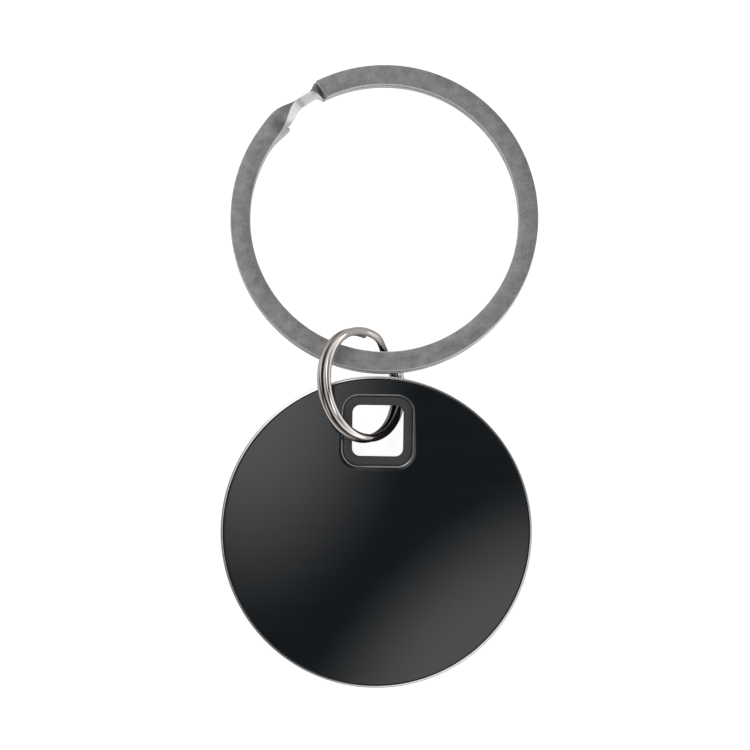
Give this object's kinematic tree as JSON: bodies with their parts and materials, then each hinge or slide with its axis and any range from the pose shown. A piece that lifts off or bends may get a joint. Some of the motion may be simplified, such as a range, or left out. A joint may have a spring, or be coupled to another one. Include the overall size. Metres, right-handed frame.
{
  "type": "bluetooth tracker tag",
  "caption": "Flat round glossy black tracker tag with a polished edge band and a square loop hole, carrying a small wire split ring and a flat split key ring.",
  "frame": {"origin": "on the tag's round axis, in the plane of the flat back that it lies on", "axes": "+Z out of the glossy face, +Y from the tag towards its key ring, +X to the right seen from the face"},
  "size_m": [0.0312, 0.0622, 0.0094],
  "materials": {
    "casing_black": "fine satin moulded black",
    "door_black": "fine satin moulded black",
    "band_polished": "polished",
    "frame_satin": "satin dark grey",
    "face_gloss": "high gloss black",
    "gasket_rubber": "soft silicone",
    "cell_steel": "nickel plated",
    "seal_nylon": "nylon",
    "board_laminate": "solder mask",
    "chip_resin": "moulded resin",
    "small_metal": "stamped",
    "antenna_ceramic": "fired ceramic",
    "passive_ceramic": "fired ceramic",
    "plunger_plastic": "moulded",
    "buzzer_brass": "rolled sheet",
    "contact_metal": "gold flashed spring",
    "link_chrome": "polished nickel",
    "key_steel": "satin with fine grain"
  },
  "bodies": {
    "tag": {"back_housing": "casing_black", "edge_band": "band_polished", "hole_frame": "frame_satin", "face_gasket": "gasket_rubber", "coin_cell_can": "cell_steel", "coin_cell_seal": "seal_nylon", "coin_cell_cap": "cell_steel", "circuit_board": "board_laminate", "radio_chip": "chip_resin", "crystals": "small_metal", "chip_antenna": "antenna_ceramic", "passive_parts": "passive_ceramic", "switch_tray": "chip_resin", "switch_dome": "small_metal", "switch_cover": "small_metal", "buzzer_springs": "contact_metal", "negative_contact": "contact_metal", "positive_contact": "contact_metal"},
    "face": {"face_plate": "face_gloss", "buzzer_disc": "buzzer_brass", "buzzer_ceramic": "antenna_ceramic"},
    "plunger": {"switch_plunger": "plunger_plastic"},
    "door": {"battery_door": "door_black"},
    "link_ring": {"link_ring": "link_chrome"},
    "key_ring": {"key_ring": "key_steel"}
  },
  "joints": [
    {"name": "face_press", "type": "slide", "parent": "tag", "child": "face", "axis": [0, 0, -1], "range_m": [0, 0.0002], "stiffness_N_per_m": 3000, "springref_m": -0.0003, "deforming": ["face_gasket", "buzzer_springs"]},
    {"name": "plunger_press", "type": "slide", "parent": "tag", "child": "plunger", "axis": [0, 0, -1], "range_m": [0, 0.0002], "deforming": ["switch_dome"]},
    {"name": "battery_door_turn", "type": "hinge", "parent": "tag", "child": "door", "pos_m": [0, -0.0037, 0], "axis": [0, 0, -1], "range_deg": [0, 38]},
    {"name": "link_ring_swivel", "type": "hinge", "parent": "tag", "child": "link_ring", "pos_m": [-0.0017, 0.01465, 0.00467], "axis": [-0.1994, 0.9799, 0], "range_deg": [0, 55]},
    {"name": "key_ring_fold", "type": "hinge", "parent": "link_ring", "child": "key_ring", "pos_m": [0.00035, 0.01705, 0.00365], "axis": [1, 0, 0], "range_deg": [0, 120]}
  ],
  "couplings": [
    {"joint": "plunger_press", "follows": "face_press", "ratio": 1}
  ]
}
